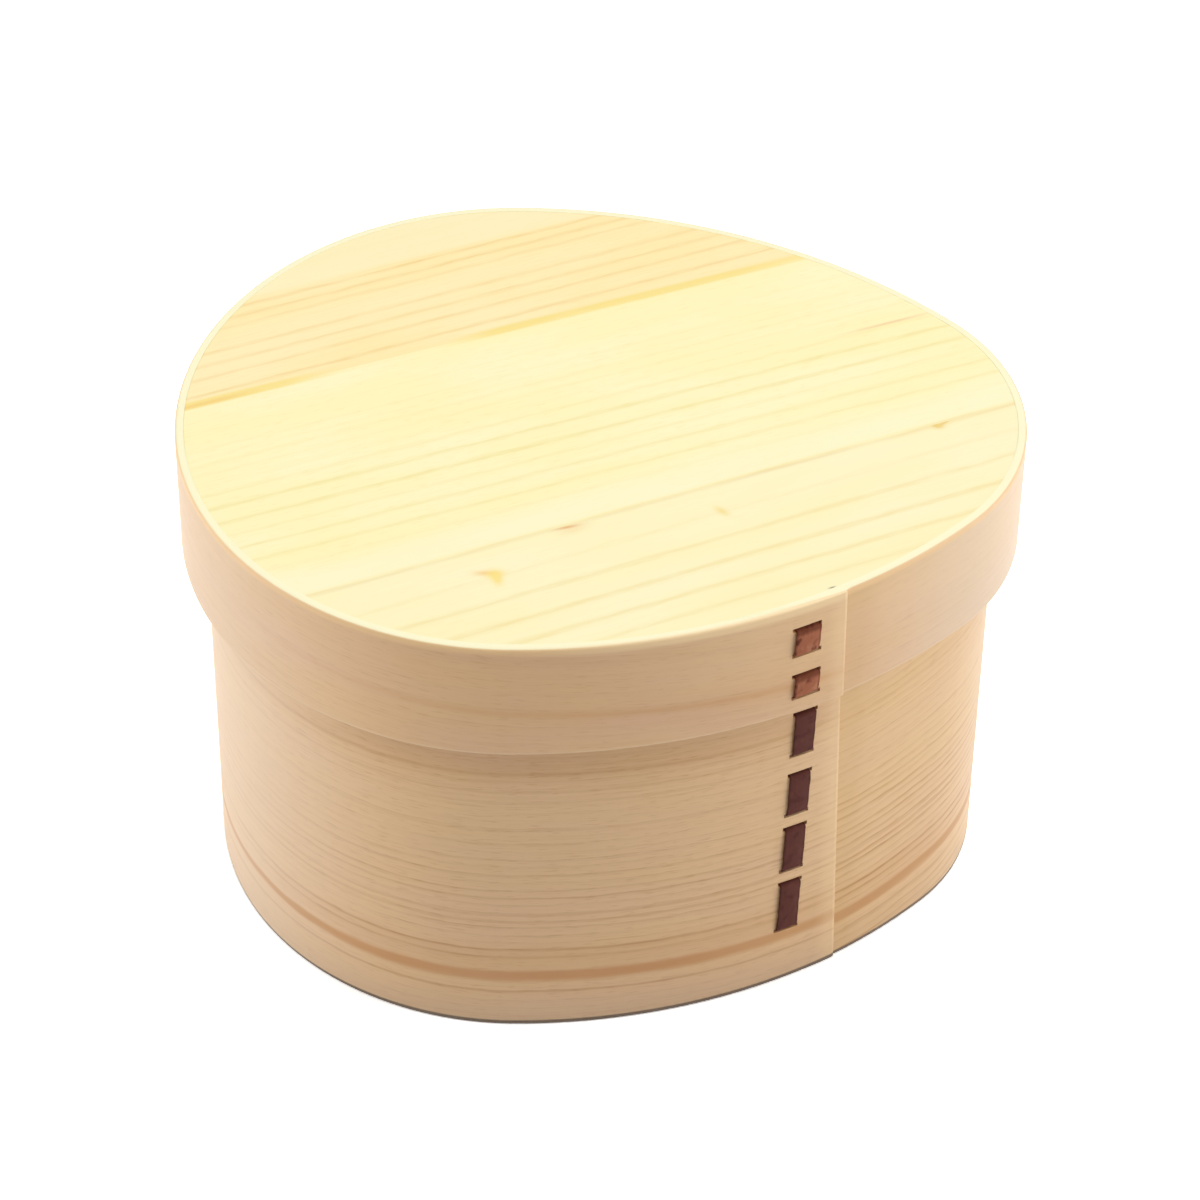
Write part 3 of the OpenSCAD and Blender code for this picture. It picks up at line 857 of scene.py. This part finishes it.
def bent_hoop(name, tree, finish, out, foot, top, wall, lap, lap_at, step, lean, rim, toe, end_round):
    """One strip, bent round the plan and lapped on itself on the front flank."""
    spare = 6 * MM
    length = plan_length(out) + lap
    start = lap_at - lap
    steps = 1400
    reach = length + 2 * spare
    path = [plan_point(out, start - spare + i / steps * reach) for i in range(steps + 1)]
    return grown(chain(name, path), tree, finish, **{
        "Length": length, "Foot": foot, "Height": top - foot, "Wall": wall, "Lap": lap, "Step": step,
        "Glue": LAP_GLUE, "Lean": -math.tan(lean), "Spare": spare, "Edge": STRIP_EASE, "Rim": rim, "Toe": toe,
        "Bevel": END_BEVEL, "Bevel Length": END_BEVEL_LENGTH, "End Round": end_round, "Rows": 620,
        "Corner Steps": 4})


def slits(tree, finish, place, stitches, middle, width, wall):
    """The cutter of a row of slits, two to a stitch."""
    inset = (BARK_T - SLIT_GAPE) / 2
    heights = [z * MM + way * inset - middle for low, high in stitches for z, way in ((low, 1), (high, -1))]
    row = chain("slits", [Vector((-wall / 2, height, 0)) for height in heights])
    grown(row, tree, finish, **{
        "Depth": 3 * wall, "Height": BARK_T + SLIT_GAPE + 2 * BARK_ROOM, "Width": width + 2 * SLIT_OVER})
    row.data.transform(place)
    return row


def rounded(points, radius, steps=5):
    """A row of points with each corner turned into an arc."""
    path = [points[0]]
    for before, corner, after in zip(points, points[1:], points[2:]):
        back = (before - corner).normalized()
        on = (after - corner).normalized()
        half = back.angle(on) / 2
        if half > math.radians(85):
            path.append(corner)
            continue
        reach = min(radius / math.tan(half), (before - corner).length / 2, (after - corner).length / 2)
        for i in range(steps + 1):
            share = i / steps
            bend = corner + back * reach * (1 - share) ** 2 + on * reach * share ** 2
            path.append(bend)
    return path + [points[-1]]


def level_line(points, at):
    """The value at a place of a broken line through points, level beyond its ends."""
    for (low, first), (high, second) in zip(points, points[1:]):
        if at < high:
            return first + (second - first) * max(0.0, (at - low) / (high - low))
    return points[-1][1]


def laced_ribbon(name, tree, finish, place, stitches, middle, width, outer, inner, slant):
    """One ribbon that runs out over each stitch and back behind each gap, with both ends folded back. Each
    stitch slants by itself."""
    half = BARK_T / 2
    front = outer + half
    behind = inner - half
    ends = [(low * MM + half - middle, high * MM - half - middle) for low, high in stitches]
    first, last = ends[0], ends[-1]
    turns = [(behind, min(first[0] + BARK_TAIL, first[1] - BARK_TAIL_ROOM))]
    for low, high in ends:
        bowed = (front + BARK_BOW, (low + high) / 2)
        turns += [(behind, low), (front, low), bowed, (front, high), (behind, high)]
    turns.append((behind, max(last[1] - BARK_TAIL, last[0] + BARK_TAIL_ROOM)))
    path = rounded([Vector((x, y, 0)) for x, y in turns], BARK_BEND)
    length = sum((b - a).length for a, b in zip(path, path[1:]))
    ribbon = grown(chain(name, path), tree, finish, **{
        "Length": length, "Foot": -width / 2, "Height": width, "Wall": BARK_T, "Lap": 1 * MM, "Step": 0.0,
        "Glue": -BARK_T, "Lean": 0.0, "Spare": 0.0, "Edge": BARK_EASE, "Rim": BARK_EASE, "Toe": BARK_EASE,
        "Bevel": 0.0, "Bevel Length": 1 * MM, "End Round": 0.0, "Rows": 700, "Corner Steps": 3})
    sway = [(end, (end - (low + high) / 2) * slant) for low, high in ends for end in (low, high)]
    for vertex in ribbon.data.vertices:
        side = math.copysign(1, vertex.co.z)
        ragged = noise.noise(Vector((0, vertex.co.y / BARK_RAGGED_LENGTH, 3 * side)))
        if abs(vertex.co.z) > width / 4:
            vertex.co.z += ragged * BARK_RAGGED * side
        vertex.co.z -= level_line(sway, vertex.co.y)
    ribbon.data.transform(place @ Matrix.Translation((half, 0, 0)))
    return ribbon


# Camera, light and floor


def camera():
    """The photograph's own view, worked out from the outlines of the lid and the foot."""
    target = Vector((0.535, 28.658, 23.4)) * MM
    back = Vector((-0.0090828, -0.73429776, 0.67876675)).normalized()
    distance = 834.456 * MM
    roll = math.radians(0.769)
    right = UP.cross(back).normalized()
    upward = back.cross(right)
    x_axis = math.cos(roll) * right + math.sin(roll) * upward
    y_axis = back.cross(x_axis)
    data = bpy.data.cameras.new("camera")
    data.sensor_width = 36
    data.lens = 140.07
    data.clip_start = 0.05
    made = add_object("camera", data)
    made.matrix_world = (Matrix.Translation(target + back * distance)
                         @ Matrix((x_axis, y_axis, back)).transposed().to_4x4())
    bpy.context.scene.camera = made


LIGHT_AIM = (0, 0, 0.05)
ROOM_STRENGTH = 0.238
PAPER_TONE = (0.72, 0.72, 0.72, 1)
PAPER_AS_SEEN = (1.9, 1.9, 1.9, 1)


def softbox(name, place, width, depth, power):
    """A soft lamp at a place, turned to the box."""
    data = bpy.data.lights.new(name, "AREA")
    data.shape = "RECTANGLE"
    data.size = width
    data.size_y = depth
    data.energy = power
    made = add_object(name, data)
    made.location = place
    made.rotation_euler = (Vector(place) - Vector(LIGHT_AIM)).to_track_quat("Z", "Y").to_euler()


def studio():
    """Three soft lamps in an evenly lit room."""
    softbox("top_softbox", place=(0.05, 0.32, 0.95), width=0.9, depth=0.7, power=2.7)
    softbox("left_softbox", place=(-0.9, -0.08, 0.6), width=0.6, depth=0.6, power=6.3)
    softbox("right_softbox", place=(0.9, -0.09, 0.6), width=0.6, depth=0.6, power=6.75)
    world = bpy.data.worlds.new("studio")
    bpy.context.scene.world = world
    world.use_nodes = True
    world.node_tree.nodes.clear()
    wires = Wire(world.node_tree)
    room = wires.node("ShaderNodeBackground", None, {"Color": (1, 1, 1, 1), "Strength": ROOM_STRENGTH})
    wires.node("ShaderNodeOutputWorld", None, {"Surface": room})


def floor():
    """A sheet of paper that is seen as white and gives the box only its plain light."""
    half = 3.0
    mesh = bpy.data.meshes.new("floor")
    corners = [(-half, -half, 0), (half, -half, 0), (half, half, 0), (-half, half, 0)]
    mesh.from_pydata(corners, [], [(0, 1, 2, 3)])
    made = add_object("floor", mesh)
    paper, wires = new_material("white_paper")
    seen = wires.node("ShaderNodeLightPath", None, None, "Is Camera Ray")
    mirrored = seen.out("Is Glossy Ray")
    white = mixed(wires, (seen + mirrored).clamped(), PAPER_TONE, PAPER_AS_SEEN)
    sheet = wires.node("ShaderNodeBsdfDiffuse", None, {"Color": white})
    wires.node("ShaderNodeOutputMaterial", None, {"Surface": sheet})
    mesh.materials.append(paper)


# Assembly


def fit(piece, body, node):
    """Puts a finished piece in its CAD node's place."""
    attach(piece, body)
    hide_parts(node)


def hoops_and_ribbons():
    strip = bent_strip_tree()
    slit_row = slit_row_tree()
    grain_again = grain_again_tree()
    body_wood = body_hoop_wood()
    lid_wood = lid_hoop_wood()
    body_bark = bark("body_bark", dark=linear("46221d"), middle=linear("5f3630"), light=linear("6d4039"),
                     seed=2.0, stained=0.45, ribbon_width=BODY_BARK_W, shaded_tops=[])
    lid_bark = bark("lid_bark", dark=linear("673324"), middle=linear("a66146"), light=linear("c58767"),
                    seed=7.0, stained=0.8, ribbon_width=LID_BARK_W,
                    shaded_tops=[high * MM for _, high in LID_STITCHES])

    body = bent_hoop("bent_body_hoop", strip, body_wood, out=0.0, foot=0.0, top=BODY_TOP, wall=BODY_WALL,
                     lap=BODY_LAP, lap_at=BODY_LAP_AT, step=BODY_LAP_STEP, lean=BODY_LAP_LEAN,
                     rim=BODY_RIM_EASE, toe=BODY_TOE_EASE, end_round=0.0)
    body_middle = BODY_TOP / 2
    body_row = front_place(0.0, BODY_BARK_AT, body_middle, BODY_BARK_LEAN)
    cut_away(body, grain_again, body_wood, [
        board("body_rabbet", BOTTOM_EDGE + BOARD_ROOM, -CUT_PAST, BOTTOM_HIGH),
        slits(slit_row, body_wood, body_row, BODY_STITCHES, body_middle, BODY_BARK_W, BODY_WALL)])
    smooth(body)
    fit(body, "box", "body_hoop")

    lid = bent_hoop("bent_lid_hoop", strip, lid_wood, out=LID_OUT, foot=LID_FOOT, top=LID_TOP, wall=LID_WALL,
                    lap=LID_LAP, lap_at=LID_LAP_AT, step=LID_LAP_STEP, lean=LID_LAP_LEAN,
                    rim=LID_RIM_EASE, toe=LID_TOE_EASE, end_round=LID_END_ROUND)
    lid_middle = (LID_FOOT + LID_TOP) / 2
    lid_row = front_place(LID_OUT, LID_BARK_AT, lid_middle, LID_BARK_LEAN)
    cut_away(lid, grain_again, lid_wood, [
        board("lid_rabbet", LID_BOARD_EDGE + BOARD_ROOM, LID_BOARD_LOW, LID_TOP + CUT_PAST),
        slits(slit_row, lid_wood, lid_row, LID_STITCHES, lid_middle, LID_BARK_W, LID_WALL)])
    smooth(lid)
    fit(lid, "lid", "lid_hoop")

    body_lift = BODY_LAP_STEP * (1 - (BODY_LAP_AT - BODY_BARK_AT) / BODY_LAP)
    ribbon = laced_ribbon("laced_body_ribbon", strip, body_bark, body_row, BODY_STITCHES, body_middle,
                          width=BODY_BARK_W, outer=body_lift + BARK_ROOM,
                          inner=-BODY_WALL - BARK_BACK_ROOM, slant=0.0)
    smooth(ribbon)
    fit(ribbon, "box", "body_lacing")
    lid_lift = LID_LAP_STEP * (1 - (LID_LAP_AT - LID_BARK_AT) / LID_LAP)
    ribbon = laced_ribbon("laced_lid_ribbon", strip, lid_bark, lid_row, LID_STITCHES, lid_middle,
                          width=LID_BARK_W, outer=lid_lift + BARK_ROOM,
                          inner=-LID_WALL - BARK_BACK_ROOM, slant=LID_STITCH_SLANT)
    smooth(ribbon)
    fit(ribbon, "lid", "lid_lacing")


def eased_stave(name, edge, low, high, cuts, finish):
    """A stave with its sharp edges taken off."""
    stave = board(name, edge, low, high, cuts)
    ease = stave.modifiers.new("ease", "BEVEL")
    ease.width = BOARD_EASE
    ease.segments = 2
    ease.limit_method = "ANGLE"
    ease.angle_limit = math.radians(40)
    settle(stave)
    stave.data.materials.append(finish)
    smooth(stave, math.radians(12))
    return stave


def boards():
    back_wood = Wood(pale=linear("ffebb2"), blush=linear("ffeebc"), late=linear("e9bb5e"), spacing=3.3 * MM,
                     line_at=37.2 * MM, sharp=4.5, wander=2.0 * MM, ripple=0.5 * MM, uneven=0.9,
                     lines=0.12, flecks=0.06, seed=31.0)
    middle_wood = Wood(pale=linear("fff4bd"), blush=linear("fff6c8"), late=linear("ebd67a"), spacing=3.4 * MM,
                       line_at=-2.2 * MM, sharp=5.0, wander=1.2 * MM, ripple=0.5 * MM, uneven=0.2,
                       lines=0.1, flecks=0.13, seed=45.0)
    front_wood = Wood(pale=linear("fef3c1"), blush=linear("fef5cb"), late=linear("eed27c"), spacing=4.9 * MM,
                      line_at=-39.4 * MM, sharp=7.0, wander=1.2 * MM, ripple=0.5 * MM, uneven=0.1,
                      lines=0.1, flecks=0.06, seed=57.0)
    bottom_wood = Wood(pale=linear("f6e2b8"), blush=linear("f8e6c4"), late=linear("cf9d62"), spacing=3.2 * MM,
                       line_at=0.0, sharp=3.0, wander=2.0 * MM, ripple=0.5 * MM, uneven=1.0,
                       lines=0.5, flecks=0.08, seed=71.0)
    back_finish = board_wood("lid_back_wood", back_wood, LID_BACK_JOINT[0], BACK_LATE_WOOD, BACK_FAN,
                             back_stave_marks)
    middle_finish = board_wood("lid_middle_wood", middle_wood, LID_BACK_JOINT[0], MIDDLE_LATE_WOOD, 0.0,
                               middle_stave_marks)
    front_finish = board_wood("lid_front_wood", front_wood, LID_FRONT_JOINT[0], FRONT_LATE_WOOD, FRONT_FAN,
                              front_stave_marks)
    bottom_finish = board_wood("bottom_wood", bottom_wood, BOTTOM_BACK_JOINT[0])
    for part, cuts, finish, slot in (
            ("back", [(LID_BACK_JOINT, 1)], back_finish, "lid_back_wood"),
            ("middle", [(LID_BACK_JOINT, -1), (LID_FRONT_JOINT, 1)], middle_finish, "board_wood"),
            ("front", [(LID_FRONT_JOINT, -1)], front_finish, "board_wood")):
        stave = eased_stave(f"eased_lid_stave_{part}", LID_BOARD_EDGE, LID_BOARD_LOW,
                            LID_BOARD_HIGH + LID_BOARD_RISE, cuts, finish)
        fit(stave, "lid", f"lid_stave_{part}")
    for part, cuts in (
            ("back", [(BOTTOM_BACK_JOINT, 1)]),
            ("middle", [(BOTTOM_BACK_JOINT, -1), (BOTTOM_FRONT_JOINT, 1)]),
            ("front", [(BOTTOM_FRONT_JOINT, -1)])):
        stave = eased_stave(f"eased_bottom_stave_{part}", BOTTOM_EDGE, 0.0, BOTTOM_HIGH, cuts, bottom_finish)
        fit(stave, "box", f"bottom_stave_{part}")


camera()
studio()
floor()
hoops_and_ribbons()
boards()
bpy.context.scene.view_settings.view_transform = "Standard"
